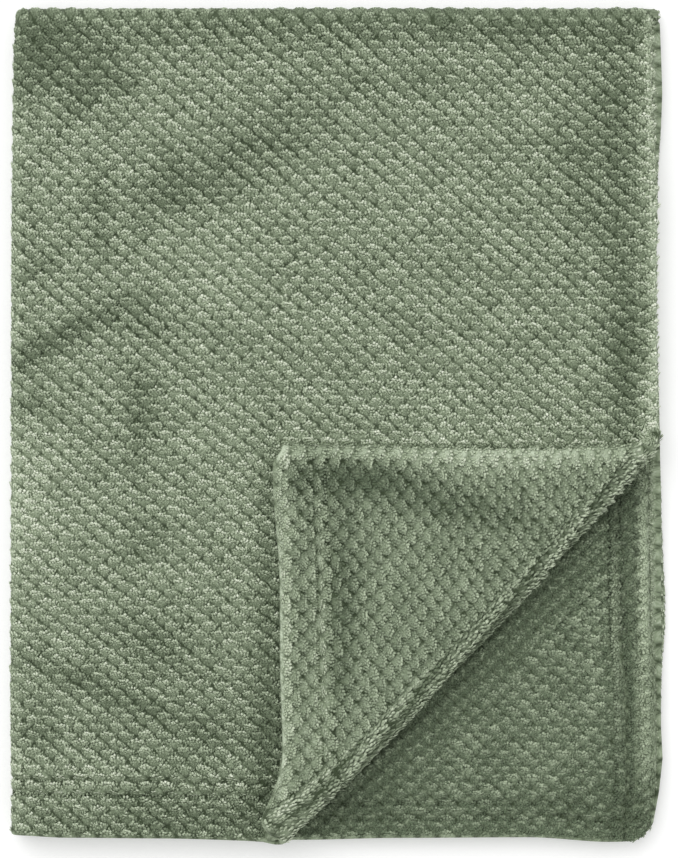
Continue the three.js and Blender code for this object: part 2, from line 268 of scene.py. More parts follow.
# ---- The cloth: its bobbles and hems ----
# The pile is knitted into bobbles that stand in half-drop rows, each row shifted half a bobble. The four
# hems are turned under once and held by two rows of stitches that draw the pile in.
BOBBLE_ACROSS = 0.0147  # from a bobble to the next in its row
BOBBLE_ALONG = 0.0129  # from a row to the next but one
BOBBLE_HEIGHT = 0.0036
BOBBLE_PROUD = 0.0010  # of the sheet's nominal face, where nothing presses on it
PRESSED_HEIGHT = 0.0012  # of the bobbles that the pad lies on
PRESSED_FACE = 0.0019  # half the sheet's thickness where layer lies on layer
FREE_FADE = 0.008  # from pressed cloth to free
STITCH_ROWS = (0.0300, 0.0405)  # their distance from the edge
STITCH_WAVE = 0.0005
FRONT_ROWS_SHIFT = [  # place across the cloth, how much further from its edge the front hem's rows lie
    (0, -0.0140), (0.470, -0.0140), (0.500, 0.0027), (0.750, 0.0027), (0.980, -0.0008), (2, -0.0008)]
SIDE_ROWS_SHIFT = -0.0090  # of the rows of the lower third's side hem
STITCH_WIDTH = 0.0016
STITCH_DEPTH = 0.0014
EDGE_ROUND = 0.0030
WANDER = 0.08  # of a bobble's place, in counts of bobbles
CREST_SHIFT = 0.9  # of a bobble's top towards its upper side, in radians of its wave
CREST_WIDENING = 0.11  # makes a bobble wide and low, and the pits narrow and long
SLANT = 0.13  # joins each bobble to the next one down and to one side
random = np.random.default_rng(11)
wander_across, wander_along, bobble_sizes = random.uniform(-1, 1, (3, 512, 512))


def soft_random(table, across, along):
    """Values of the table, eased from each whole count of both numbers to the next."""
    low_across, low_along = np.floor(across).astype(int), np.floor(along).astype(int)
    share_across, share_along = ease(across - low_across), ease(along - low_along)
    count = len(table)
    corner = [[table[(low_across + i) % count, (low_along + j) % count] for j in (0, 1)] for i in (0, 1)]
    near, far = (first + share_along * (second - first) for first, second in corner)
    return near + share_across * (far - near)


def inside_band(value, low, high, fade):
    return ease((value - low) / fade + 1) * ease((high - value) / fade + 1)


def bobble_lattice(u, v):
    """Counts of bobbles across and rows along, which wander a little as knitted rows do."""
    across = u / BOBBLE_ACROSS + 0.10 * np.sin(19 * v + 7 * u) + 0.05 * np.sin(47 * u - 31 * v + 1.3)
    along = v / BOBBLE_ALONG + 0.12 * np.sin(17 * u - 5 * v + 0.6) + 0.05 * np.sin(53 * v + 29 * u)
    rows, columns = 1.7 * across, 1.7 * along
    return (across + WANDER * soft_random(wander_across, rows, columns),
            along + WANDER * soft_random(wander_along, rows, columns))


def slant_side(u, face):
    """1 where the bobbles slant down to the right, as on the middle third, and less than 0 where not."""
    return np.where(face, np.where(u < MIDDLE_THIRD, 1, -0.45), -0.4)


def bobble_shape(u, v, face):
    """Height of the bobbles, from 0 in the pits between four of them to 1 on top of the tallest."""
    across, along = bobble_lattice(u, v)
    p, q = 2 * math.pi * across, 2 * math.pi * along
    q = q - CREST_SHIFT * (0.5 + 0.5 * np.cos(p) * np.cos(q))
    wave = (0.5 + 0.5 * np.cos(p) * np.cos(q) - SLANT * slant_side(u, face) * np.sin(p) * np.sin(q)
            + CREST_WIDENING * (np.cos(2 * q) - np.cos(2 * p)))
    height = 0.86 + 0.14 * soft_random(bobble_sizes, across + along, across - along)
    return np.clip(wave, 0, 1) ** 0.8 * height


def on_bend(u, past, radius):
    """1 on the outside of the bend of the turned back corner, and down to 0 beside it."""
    outside = inside_band(past, 0.5 * radius, math.pi * radius + 0.002, 0.005)
    return outside * (u > MIDDLE_THIRD - 0.008)


def ridge_shape(u, v):
    """The bobbles drawn out into ridges that run along the bend of the turned back corner."""
    across, along = bobble_lattice(u, v)
    ridge = 0.5 + 0.5 * np.cos(2 * math.pi * (across + along))
    return (0.25 + 0.65 * ridge**0.7) * (0.90 + 0.10 * np.cos(2 * math.pi * (across - along)))


def from_edge(u, v):
    return np.minimum(np.minimum(u, CLOTH_ACROSS - u), np.minimum(v, CLOTH_ALONG - v))


def row_wave(along):
    return STITCH_WAVE * (np.sin(along / 0.0095) + 0.7 * np.sin(along / 0.0041 + 1))


def front_rows(u):
    """How far the rows of the front hem lie past their usual distance from the edge."""
    return read_rows(FRONT_ROWS_SHIFT, u) + row_wave(u)


def stitch_grooves(u, v, width):
    """1 on the two rows of stitches of each hem, and down to 0 beside them."""
    groove = np.zeros_like(u)
    edges = [u - SIDE_ROWS_SHIFT - row_wave(v), CLOTH_ACROSS - u, v - front_rows(u), CLOTH_ALONG - v]
    for from_row in [edge - row for edge in edges for row in STITCH_ROWS]:
        groove = np.maximum(groove, np.exp(-((from_row / width) ** 2)))
    return groove


def face_offset(u, v, face):
    """How far the pile stands out from the middle of the sheet, on its face or its back."""
    x, y, radius, past = beside_bend(u, v)
    upper = v <= (BACK_CENTRE + BACK_FOLD) / 2
    if face:
        # free on top of the pad, but for the corner that the flap lies on, and on the flap itself
        unbent = ease((-0.004 - past) / FREE_FADE + 1)
        covered = ease((x - FLAP_EDGES[0]) / FREE_FADE) * ease((FLAP_EDGES[1] - y) / FREE_FADE)
        middle = inside_band(u, LOWER_THIRD - 0.004, RIGHT_FOLD + 0.004, FREE_FADE)
        free = upper * middle * unbent * (1 - covered)
        free = np.maximum(free, upper * (u > MIDDLE_THIRD - 0.004) * ease(past / radius - 0.4))
        under = ~upper * inside_band(u, LOWER_THIRD - 0.004, MIDDLE_THIRD + 0.006, FREE_FADE)
    else:
        free = (u < LOWER_THIRD) * (v < BACK_CENTRE) * ease((past - 0.002) / 0.010)
        under = np.zeros_like(u)
    edge = from_edge(u, v)
    plump = 1 - ease((edge - 0.003) / 0.006)
    groove = stitch_grooves(u, v, STITCH_WIDTH)
    shape = bobble_shape(u, v, face)
    # drawn flat where the cloth is folded over at the back and on the left
    drawn = ease((v - BACK_CENTRE + 0.004) / 0.006) + ease((LEFT_FOLD - u + 0.004) / 0.006)
    shape = shape + 0.6 * (0.6 - shape) * np.minimum(drawn, 1) * face
    if face:
        shape = shape + on_bend(u, past, radius) * upper * (ridge_shape(u, v) - shape)
    shape = shape + plump * (0.8 - shape)
    free_face = SHEET / 2 + BOBBLE_PROUD - BOBBLE_HEIGHT * (1 - shape * (1 - 0.5 * groove))
    under_face = SHEET / 2 - PRESSED_HEIGHT * (1 - shape)
    offset = PRESSED_FACE + free * (free_face - PRESSED_FACE) + under * (under_face - PRESSED_FACE)
    offset = offset - STITCH_DEPTH * groove * np.maximum(free, 0.3 * under)
    rounded = np.sqrt(np.clip(1 - (1 - np.clip(edge / EDGE_ROUND, 0, 1)) ** 2, 0, 1))
    return offset * (0.25 + 0.75 * rounded)


def surface(u, v, face):
    return folded(u, v, face_offset(u, v, True) if face else -face_offset(u, v, False))


# ---- The cloth: its mesh ----
# The sheet is cut into cells that follow its folds. A cell that shows is divided finely, and one that
# lies hidden between the layers stays whole.
EDGE_STEPS = [0.0008, 0.0020, 0.0045]
FINE_ACROSS, FINE_ALONG = BOBBLE_ACROSS / 5, BOBBLE_ALONG / 5
FLAP_CELLS = 0.300


def cut_lines(stretches):
    """Lines of the cells and the fine cuts of each cell, from rows of (end, cell size, fine size)."""
    lines, cuts = [0.0], []
    for end, cell, fine in stretches:
        start = lines[-1]
        count = max(1, round((end - start) / cell))
        size = (end - start) / count
        for step in range(count):
            lines.append(start + (step + 1) * size)
            cuts.append(max(1, round(size / fine)))
    return lines, cuts


def edge_lines(length):
    """The narrow cells along the two opposite edges of a cloth of this length."""
    start = [(step, 0.004, 0.004) for step in EDGE_STEPS]
    end = [(length - step, 0.004, 0.004) for step in EDGE_STEPS[-2::-1]]
    return start, end + [(length, 0.004, 0.004)]


edge_start, edge_end = edge_lines(CLOTH_ACROSS)
lines_u, cuts_u = cut_lines([
    *edge_start,
    (FLAP_CELLS, BOBBLE_ACROSS, FINE_ACROSS), (LOWER_THIRD, 0.038, 0.038),
    (LEFT_FOLD, 0.0019, 0.0019), (MIDDLE_THIRD, BOBBLE_ACROSS, FINE_ACROSS),
    (RIGHT_FOLD, 0.0015, 0.0015), (RIGHT_FOLD + FLAP_CELLS, BOBBLE_ACROSS, FINE_ACROSS),
    (CLOTH_ACROSS - EDGE_STEPS[-1], 0.038, 0.038),
    *edge_end,
])
edge_start, edge_end = edge_lines(CLOTH_ALONG)
lines_v, cuts_v = cut_lines([
    *edge_start,
    (FLAP_CELLS + 0.010, BOBBLE_ALONG, FINE_ALONG), (BACK_CENTRE, 2 * BOBBLE_ALONG, FINE_ALONG),
    (BACK_FOLD, 0.0024, 0.0024), (CLOTH_ALONG - EDGE_STEPS[-1], 2 * BOBBLE_ALONG, BOBBLE_ALONG / 3),
    *edge_end,
])


def showing_cells(face):
    """Which cells of the face or the back can be seen, from outside or past the edge of the flap."""
    centre_u = (np.array(lines_u[1:]) + lines_u[:-1])[:, None] / 2 + np.zeros(len(cuts_v))
    centre_v = (np.array(lines_v[1:]) + lines_v[:-1])[None, :] / 2 + np.zeros((len(cuts_u), 1))
    x, y, radius, past = beside_bend(centre_u, centre_v)
    cell = 0.012
    bend = (past > -cell) & (past < math.pi * radius + cell) & in_flap_layers(centre_u, centre_v)
    covered = (x > FLAP_EDGES[0] + 0.015) & (y < FLAP_EDGES[1] - 0.015)
    upper = centre_v < BACK_CENTRE
    if face:
        middle = (centre_u > LOWER_THIRD - 0.03) & (centre_u < RIGHT_FOLD)
        hidden_middle = upper & covered & (centre_u > LEFT_FOLD)
        turned = (centre_u > MIDDLE_THIRD) & upper & (past > 0)
        return (middle & ~hidden_middle) | turned | bend
    corner = (centre_u < LOWER_THIRD) & upper & (past > -cell)
    return corner | bend


def outline_of(block):
    """The numbers round the edge of a block, in order, counter-clockwise."""
    return np.concatenate([block[:-1, 0], block[-1, :-1], block[:0:-1, -1], block[0, :0:-1]])


def cloth_mesh():
    showing = [showing_cells(True), showing_cells(False)]
    both = showing[0] | showing[1]
    for edge in (slice(0, 3), slice(-3, None)):
        for side in showing:
            side[edge, :] = both[edge, :]
            side[:, edge] = both[:, edge]
    starts_u = np.concatenate([[0], np.cumsum(cuts_u)])
    starts_v = np.concatenate([[0], np.cumsum(cuts_v)])
    fine_u = np.interp(np.arange(starts_u[-1] + 1), starts_u, lines_u)
    fine_v = np.interp(np.arange(starts_v[-1] + 1), starts_v, lines_v)
    number = np.full((2, len(fine_u), len(fine_v)), -1)
    used = np.zeros(number.shape, bool)
    for side in (0, 1):
        used[side][np.ix_(starts_u, starts_v)] = True
        for i, j in np.argwhere(showing[side]):
            used[side, starts_u[i]:starts_u[i + 1] + 1, starts_v[j]:starts_v[j + 1] + 1] = True
    number[used] = np.arange(used.sum())
    quads, plain = [], []
    for side, i, j in np.ndindex(2, len(cuts_u), len(cuts_v)):
        block = number[side, starts_u[i]:starts_u[i + 1] + 1, starts_v[j]:starts_v[j + 1] + 1]
        if showing[side][i, j]:
            cells = np.stack([block[:-1, :-1], block[1:, :-1], block[1:, 1:], block[:-1, 1:]], -1)
            cells = cells.reshape(-1, 4)
            quads.append(cells if side == 0 else cells[:, ::-1])
        else:
            ring = [int(corner) for corner in outline_of(block) if corner >= 0]
            plain.append(ring if side == 0 else ring[::-1])
    rim_face, rim_back = outline_of(number[0]), outline_of(number[1])
    kept = rim_face >= 0
    rim_face, rim_back = rim_face[kept], rim_back[kept]
    quads.append(np.stack([rim_face, rim_back, np.roll(rim_back, -1), np.roll(rim_face, -1)], -1))
    side, i, j = np.nonzero(used)
    u, v = fine_u[i], fine_v[j]
    places = np.where(side[:, None] == 0, surface(u, v, True), surface(u, v, False))
    mesh = bpy.data.meshes.new("throw_cloth")
    mesh.from_pydata(places.tolist(), [], np.concatenate(quads).tolist() + plain)
    return mesh, places, u, v, side == 0


mesh, places, cloth_u, cloth_v, on_face = cloth_mesh()
mesh.validate()
mesh.polygons.foreach_set("use_smooth", [True] * len(mesh.polygons))

# Centre it where the solid lies.
bare = folded(cloth_u, cloth_v, np.where(on_face, SHEET / 2, -SHEET / 2))
middle = (bare.min(0) + bare.max(0)) / 2
to_solid = Matrix.Translation(
    ((pad_low.x + pad_high.x) / 2 - middle[0], (pad_low.y + pad_high.y) / 2 - middle[1], 0))
solid_places = places + to_solid.translation
solid_places[:, 2] = np.maximum(solid_places[:, 2], 0)
mesh.vertices.foreach_set("co", solid_places.ravel())


def add_object(name, data):
    added = bpy.data.objects.new(name, data)
    bpy.context.scene.collection.objects.link(added)
    return added


throw_cloth = add_object("throw_cloth", mesh)


# ---- The pile: where it grows and how it lies ----
# Deep pile of polyester fibre on every face that shows. Handling and folding lay it down in soft patches,
# which look darker or paler as it leans away from the light or to it. The tables below paint these patches
# into its colour as painted light and shade, together with painted shade in its creases and folds,
# painted shadows of the flap and of the layers, and painted highlights on its rolled rims.
# The lower shade of the flap and of the lower third is painted shade: the flap's pile leans away from the
# light, and the lower third lies low, in the flap's shadow.
PILE_PARTS = [  # name, shade, depth of shade, lock length, lock width
    ("pile_back", 0.380, 0.94, 0.0038, 0.0015),
    ("pile_middle", 0.380, 0.94, 0.0038, 0.0015),
    ("pile_front", 0.380, 0.94, 0.0038, 0.0015),
    ("pile_flap", 0.285, 0.70, 0.0036, 0.0015),
    ("pile_lower_third", 0.15, 0.90, 0.0036, 0.0016),
    ("pile_folds", 0.40, 0.70, 0.0036, 0.0015),
    ("pile_bend", 0.30, 0.85, 0.0058, 0.0013),
    ("pile_lower_hem", 0.26, 0.85, 0.0034, 0.0013),
]
BACK, MIDDLE, FRONT, FLAP, LOWER, FOLDS, BEND, HEM = range(1, 9)  # their numbers
PILE_MARGIN = 0.0004  # of bare cloth along its edge
# Painted light and shade on the middle third and its folds: darker creases and laid pile, painted shadow
# beside the flap's left edge, and a painted highlight along the right rim.
MIDDLE_PAINTED_LIGHT = [  # middle x and y, half length, half width (in millimetres), turn in degrees, paler by
    (22, 605, 45, 36, 0, -0.42),
    (78, 580, 18, 14, 0, -0.2),
    (55, 565, 35, 9, 55, -0.18),
    (250, 636, 280, 9, 0, -0.18),
    (330, 626, 18, 14, 0, -0.16),
    (396, 622, 16, 14, 0, -0.16),
    (179, 522, 85, 22, 30, -0.2),
    (121, 502, 24, 20, 0, -0.12),
    (326, 578, 110, 12, 3, -0.08),
    (70, 487, 35, 9, 90, -0.16),
    (51, 521, 30, 20, 0, 0.06),
    (160, 429, 45, 24, 0, 0.1),
    (22, 436, 30, 7, 38, -0.16),
    (43, 386, 50, 8, 29, -0.28),
    (16, 366, 20, 8, 25, -0.2),
    (12, 331, 18, 8, 0, -0.24),
    (101, 397, 26, 18, 0, -0.14),
    (101, 325, 48, 12, 84, -0.2),
    (12, 262, 55, 26, 90, 0.22),
    (167, 277, 70, 30, 90, 0.06),
    (105, 227, 18, 14, 0, -0.17),
    (113, 153, 34, 28, 0, -0.18),
    (78, 111, 85, 10, -22, -0.24),
    (156, 45, 70, 60, 0, -0.15),
    (24, 80, 20, 14, 0, -0.2),
    (105, 37, 20, 16, 0, -0.18),
    (110, 10, 120, 12, 0, -0.16),
    (199, 145, 140, 10, 90, -0.24),
    (199, 70, 50, 11, 90, -0.14),
    (472, 366, 62, 13, 90, -0.34),
    (468, 533, 110, 16, 90, -0.18),
    (445, 515, 90, 35, 90, -0.14),
    (493, 400, 300, 8, 90, 0.44),
    (489, 410, 90, 5, 90, -0.3),
    (330, 628, 300, 20, 0, -0.27),
    (120, 44, 100, 10, 0, 0.2),
    (330, 306, 130, 4, 0, 0.16),
]
# Painted light and shade on the flap: painted highlights on its left and back rims, painted shadow under its
# back rim and beside its hem.
FLAP_PAINTED_LIGHT = [
    (209, 150, 300, 6, 90, 0.42),
    (330, 296, 300, 7, 0, 0.3),
    (380, 288, 60, 13, 0, 0.24),
    (219, 276, 11, 11, 0, -0.32),
    (264, 277, 26, 12, 0, -0.34),
    (330, 260, 78, 13, -16, -0.27),
    (256, 190, 85, 9, 90, -0.24),
    (369, 181, 180, 18, 47, -0.06),
    (245, 84, 30, 24, 0, 0.14),
    (238, 150, 110, 6, 90, 0.26),
    (440, 240, 70, 10, 47, 0.16),
]
# Painted light and shade on the lower third: painted shadow under the flap's bend, and painted highlights on
# its rolled side hem.
LOWER_THIRD_PAINTED_LIGHT = [
    (367, 142, 190, 24, 47, -0.36),
    (288, 26, 20, 20, 0, -0.2),
    (470, 120, 110, 18, 90, -0.16),
    (467, 190, 60, 4, 90, 0.3),
    (469, 100, 60, 4, 90, 0.2),
    (476, 150, 120, 4.5, 90, -0.08),
    (420, 4, 120, 8, 0, -0.16),
    (420, 22, 90, 18, 0, -0.14),
    (477, 30, 24, 22, 0, -0.16),
    (450, 138, 75, 8, 90, 0.1),
    (488.5, 200, 120, 5, 90, 0.4),
    (491, 60, 80, 5, 90, 0.16),
]
# Painted light and shade on the lower hem: a painted highlight on its rolled edge, and painted shadow along
# the edge of the layer above it.
LOWER_HEM_PAINTED_LIGHT = [
    (492.5, 160, 220, 3.5, 90, 0.46),
    (489, 160, 200, 2, 90, -0.5),
    (492.5, 560, 90, 6, 90, 0.46),
]


def pile_part(u, v, face):
    """The number of the part of the pile that grows at a place, or 0 where none does."""
    x, y, radius, past = beside_bend(u, v)
    inside = from_edge(u, v) > PILE_MARGIN
    upper, lower = inside & (v < BACK_CENTRE), inside & (v >= BACK_FOLD - 0.004)
    if not face:
        return np.where(upper & (u < LOWER_THIRD) & (past > 0.003), LOWER, 0)
    covered = (x > FLAP_EDGES[0] + 0.002) & (y < FLAP_EDGES[1] - 0.002)
    # the flap's pile begins on its bend, and that of the layer under it stays clear of the bend
    at_end = (y > FLAP_EDGES[1] - 0.020) | (y < 0.03)
    bent = in_flap_layers(u, v) & (past > np.where(at_end, 0.5 * radius, -0.005))
    middle = upper & (u > LEFT_FOLD) & (u < MIDDLE_THIRD) & ~bent & ~covered
    turned = upper & (u > MIDDLE_THIRD - 0.008) & (past > 0.5 * radius)
    folds = upper & ((u > LOWER_THIRD) & (u <= LEFT_FOLD) | (u >= MIDDLE_THIRD) & (u < RIGHT_FOLD))
    folds |= (v >= BACK_CENTRE) & (v < BACK_FOLD - 0.004) & (u > LOWER_THIRD) & (u < RIGHT_FOLD)
    folds |= lower & (u > MIDDLE_THIRD - 0.002) & (u < RIGHT_FOLD)
    return np.select([turned, middle & (y > 0.430), middle & (y > 0.225), middle, folds & ~bent,
                      lower & (u < 0.010)], [FLAP, BACK, MIDDLE, FRONT, FOLDS, HEM], 0)


def nap(part, x, y):
    """How much paler the pile of each part is painted at a place in plan, as painted light and shade."""
    paler = np.zeros_like(x)
    for rows, parts in ((MIDDLE_PAINTED_LIGHT, (BACK, MIDDLE, FRONT, FOLDS)), (FLAP_PAINTED_LIGHT, (FLAP, BEND)),
                        (LOWER_THIRD_PAINTED_LIGHT, (LOWER,)), (LOWER_HEM_PAINTED_LIGHT, (HEM,))):
        grown = np.isin(part, parts)
        for *sizes, turn, amount in rows:
            paler += amount * grown * soft_patch(x, y, *sizes, turn=turn)
    return paler


# ---- The cloth: its fleece ----
# Sage green polyester fleece, knitted and raised. Under the pile and between the layers it shows as small
# matt bobbles, with painted shade down in the pits and a soft sheen where it is seen side on.
class Wire:
    """A value that runs through a tree of nodes. Arithmetic on it adds Math nodes to that tree."""

    def __init__(self, tree, socket):
        self.tree, self.socket = tree, socket

    def maths(self, operation, *others):
        values = {f"in{index}": value for index, value in enumerate((self, *others))}
        return add_node(self.tree, "ShaderNodeMath", {"operation": operation}, **values)

    def parts(self):
        """The three numbers of a vector, or the red, green and blue of a colour."""
        split = self.tree.nodes.new("ShaderNodeSeparateXYZ")
        self.tree.links.new(self.socket, split.inputs[0])
        return [Wire(self.tree, output) for output in split.outputs]

    def __add__(self, other):
        return self.maths("ADD", other)

    __radd__ = __add__

    def __mul__(self, other):
        return self.maths("MULTIPLY", other)

    def __sub__(self, other):
        return self.maths("SUBTRACT", other)

    def __rsub__(self, other):
        return (self * -1) + other

    def __abs__(self):
        return self.maths("ABSOLUTE")


def add_node(tree, kind, settings=None, output=0, **sockets):
    """Adds a node, sets it, then its sockets. A socket is named by its words with _ for a space, or inN."""
    node = tree.nodes.new(kind)
    for name, value in (settings or {}).items():
        setattr(node, name, value)
    for name, value in sockets.items():
        socket = node.inputs[int(name[2:]) if name.startswith("in") else name.replace("_", " ")]
        if isinstance(value, Wire):
            tree.links.new(value.socket, socket)
        else:
            socket.default_value = value
    return Wire(tree, node.outputs[output])


def vector(tree, x, y, z):
    return add_node(tree, "ShaderNodeCombineXYZ", X=x, Y=y, Z=z)


def linear(*colour):
    """A colour in steps from 0 to 255, as the shader's linear values."""
    return (*(((part / 255 + 0.055) / 1.055) ** 2.4 for part in colour), 1)


def blend_colours(tree, value, *colours):
    """These three colours where the value is 0, a half and 1, blended between them."""
    ramp = tree.nodes.new("ShaderNodeValToRGB")
    ramp.color_ramp.elements.new(0.5)
    for element, place, colour in zip(ramp.color_ramp.elements, (0, 0.5, 1), colours):
        element.position, element.color = place, linear(*colour)
    tree.links.new(value.socket, ramp.inputs["Fac"])
    return Wire(tree, ramp.outputs[0])


def new_material(name):
    material = bpy.data.materials.new(name)
    material.use_nodes = True
    material.node_tree.nodes.clear()
    return material, material.node_tree


def show_surface(tree, shader):
    output = tree.nodes.new("ShaderNodeOutputMaterial")
    tree.links.new(shader.socket, output.inputs["Surface"])


def finish_matt(tree, colour, roughness, sheen, **sockets):
    """A matt textile surface in this colour, with the sheen of fine fibres."""
    show_surface(tree, add_node(
        tree, "ShaderNodeBsdfPrincipled", Base_Color=colour, Roughness=roughness, Specular_IOR_Level=0.15,
        Sheen_Weight=sheen, Sheen_Roughness=0.45, Sheen_Tint=linear(214, 224, 200), **sockets,
    ))


def fleece_material():
    material, tree = new_material("sage fleece")
    across, along, _ = add_node(tree, "ShaderNodeUVMap", {"uv_map": "Bobbles"}).parts()
    rise, fall = across + along, across - along
    row, column = rise.maths("ROUND"), fall.maths("ROUND")
    off_rise, off_fall = rise - row, fall - column
    # place in the bobble, in millimetres from its middle
    off_x = (off_rise + off_fall) * (BOBBLE_ACROSS * 500)
    off_y = (off_rise - off_fall) * (BOBBLE_ALONG * 500)
    which = vector(tree, row, column, 0.0)
    chance = add_node(tree, "ShaderNodeTexWhiteNoise", {"noise_dimensions": "2D"}, Vector=which)
    # fibres fan out from a foot below the bobble, each bobble leaning its own way
    lean = (chance - 0.5) * 1.3
    turned_x = off_x * lean.maths("COSINE") + off_y * lean.maths("SINE")
    turned_y = off_y * lean.maths("COSINE") - off_x * lean.maths("SINE") + 8.0
    fan = turned_x.maths("ARCTAN2", turned_y)
    reach = (turned_x * turned_x + turned_y * turned_y).maths("SQRT")
    fibre_place = vector(tree, fan * 8.0, reach * 0.22, chance * 37.0)
    fibres = add_node(
        tree, "ShaderNodeTexNoise", {"noise_dimensions": "3D"},
        Vector=fibre_place, Scale=1.1, Detail=2.0, Roughness=0.55,
    )
    fibres = (fibres - 0.5) * 2.2
    # the bobble's own dome, and the pits where four of them meet, for the bump and as painted light:
    # paler on the dome, painted shade in the pits
    seam = abs(off_rise).maths("MAXIMUM", abs(off_fall)) * 2
    pit = (abs(off_rise) + abs(off_fall) - 0.55).maths("MAXIMUM", 0.0)
    dome = 1 - seam * seam * seam
    groove = add_node(tree, "ShaderNodeAttribute", {"attribute_name": "hem_groove"}, 2)
    paler = add_node(tree, "ShaderNodeAttribute", {"attribute_name": "nap"}, 2)
    tone = 0.47 + fibres * 0.40 + (dome - 0.7) * 0.25 + ((chance * 91.7).maths("FRACT") - 0.5) * 0.16
    # painted shade in the pits and the stitch grooves, and the painted light and shade stored on the cloth
    tone = tone - pit * 0.6 - groove * 0.30 + paler
    colour = blend_colours(tree, tone, (70, 82, 60), (141, 154, 128), (196, 208, 184))
    height = dome * 0.5 + fibres * 0.35 - pit * 1.6
    bump = add_node(tree, "ShaderNodeBump", Strength=1.0, Distance=0.0012, Height=height)
    finish_matt(tree, colour, roughness=0.92, sheen=0.35, Normal=bump)
    return material


def keep_on_cloth(name, values):
    """Stores a number on each of the cloth's points, for its fleece to read."""
    mesh.attributes.new(name, "FLOAT", "POINT").data.foreach_set("value", values.astype(float))


grown = np.where(on_face, pile_part(cloth_u, cloth_v, True), pile_part(cloth_u, cloth_v, False))
keep_on_cloth("hem_groove", stitch_grooves(cloth_u, cloth_v, STITCH_WIDTH))
# The bare cloth is painted with the pile's light and shade too: each part's shade, the tables, and painted
# shade in the furrows of the flap's bend.
shades = np.array([0.0] + [0.3 * (shade - PILE_PARTS[0][1]) - 0.05 for _, shade, *_ in PILE_PARTS])
x, y, radius, past = beside_bend(cloth_u, cloth_v)
painted_furrow_shade = on_bend(cloth_u, past, radius) * on_face * (1 - ridge_shape(cloth_u, cloth_v))
base_darkest = np.where(grown == LOWER, -0.05, -0.24)  # so that no gap in the pile looks like a hole
paler = np.maximum(nap(grown, places[:, 0], places[:, 1]) + shades[grown], base_darkest)
keep_on_cloth("nap", paler - 0.4 * painted_furrow_shade)
corners = np.empty(len(mesh.loops), int)
mesh.loops.foreach_get("vertex_index", corners)
lattice = np.stack(bobble_lattice(cloth_u, cloth_v), -1)
mesh.uv_layers.new(name="Bobbles").data.foreach_set("uv", lattice[corners].ravel())

throw_cloth.data.materials.append(fleece_material())
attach(throw_cloth, "root")
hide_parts("throw_blanket")


# ---- The pile: tufts of fibre on the bobbles ----
# The fibres stand together in small pointed locks. Each knitted bobble carries a tuft of them in rows,
# which fans out, leans towards its upper side and ends there in a round edge with a painted highlight.
# Paler by is painted light: a painted highlight on the upper rows, painted shade on the lower ones.
TUFT_ROWS = [  # place along the cloth, half width of the row, count, paler by, and where brushed flat
    (-0.0052, 0.0026, 3, -0.25, -0.18),
    (-0.0038, 0.0040, 5, -0.19, -0.13),
    (-0.0022, 0.0052, 6, -0.07, -0.05),
    (-0.0007, 0.0054, 6, 0.08, 0.07),
    (0.0006, 0.0047, 6, 0.27, 0.20),
    (0.0014, 0.0033, 5, 0.42, 0.25),
]
TUFT_SLANT = 0.42  # a tuft trails down to one side
TUFT_DROOP = 0.0014  # of the rows' ends on that side
TUFT_TURN = 0.16  # of a whole tuft, to either side
BACK_TILT = 0.10  # of the tufts' rows on the back of the cloth
BACK_SPREAD = 1.18  # of those rows, to those on the face
LOCK_LEAN = 3.0  # along the cloth, for 1 out of it
BEND_LEAN = (7.4, -7.0)  # on the bend of the turned back corner: along the cloth and across it
EDGE_LEAN = (0.6, 3.0)  # and on the side hem of the lower third
SIDE_HEM = (0.038, 0.012)  # how far from the edge that is so, and the width over which it fades
LOCK_STEP = 0.0032  # how far ahead of its foot a lock meets a bobble that rises
LOCK_LIFT = 0.0010  # of the lock over that place
LOCK_FLATNESS = 0.20  # its thickness to its width
LOCK_FAN = 0.9  # to the sides, at the ends of a row
LOCK_SWIRL = 0.7  # of all locks of a tuft to one side
LOCK_STRAY = 0.25  # of each lock's direction
LOCK_ASTRAY = 0.0005  # of its foot, either way
SUNK = 0.0004  # of a lock's foot in the cloth
FOLD_LEAN = 3.0  # more where the cloth is folded over
BEND_BARE = -0.37  # below this height, in the bend's furrows, no lock grows
LOCK_REACH = 0.0045  # of a lock that hangs down
FLOOR_GAP = 0.0015  # that its tip keeps over the floor
STITCH_GAP = 0.0007  # half the width of the gap that a row of stitches leaves in the pile


def cloth_place(across, along):
    """The place on the cloth that has these counts of bobbles and rows."""
    u, v = across * BOBBLE_ACROSS, along * BOBBLE_ALONG
    for _ in range(5):
        there = bobble_lattice(u, v)
        u, v = u - (there[0] - across) * BOBBLE_ACROSS, v - (there[1] - along) * BOBBLE_ALONG
    return u, v


def one_long(vectors):
    return vectors / np.linalg.norm(vectors, axis=1)[:, None]


def cloth_frame(u, v, face):
    """Place on the face or the back, and the directions along u, along v and out of it."""
    near = 0.0008
    spread = one_long(surface(u + near, v, face) - surface(u - near, v, face))
    comb = one_long(surface(u, v + near, face) - surface(u, v - near, face))
    out = one_long(np.cross(spread, comb) * (1 if face else -1))
    return surface(u, v, face), spread, comb, out


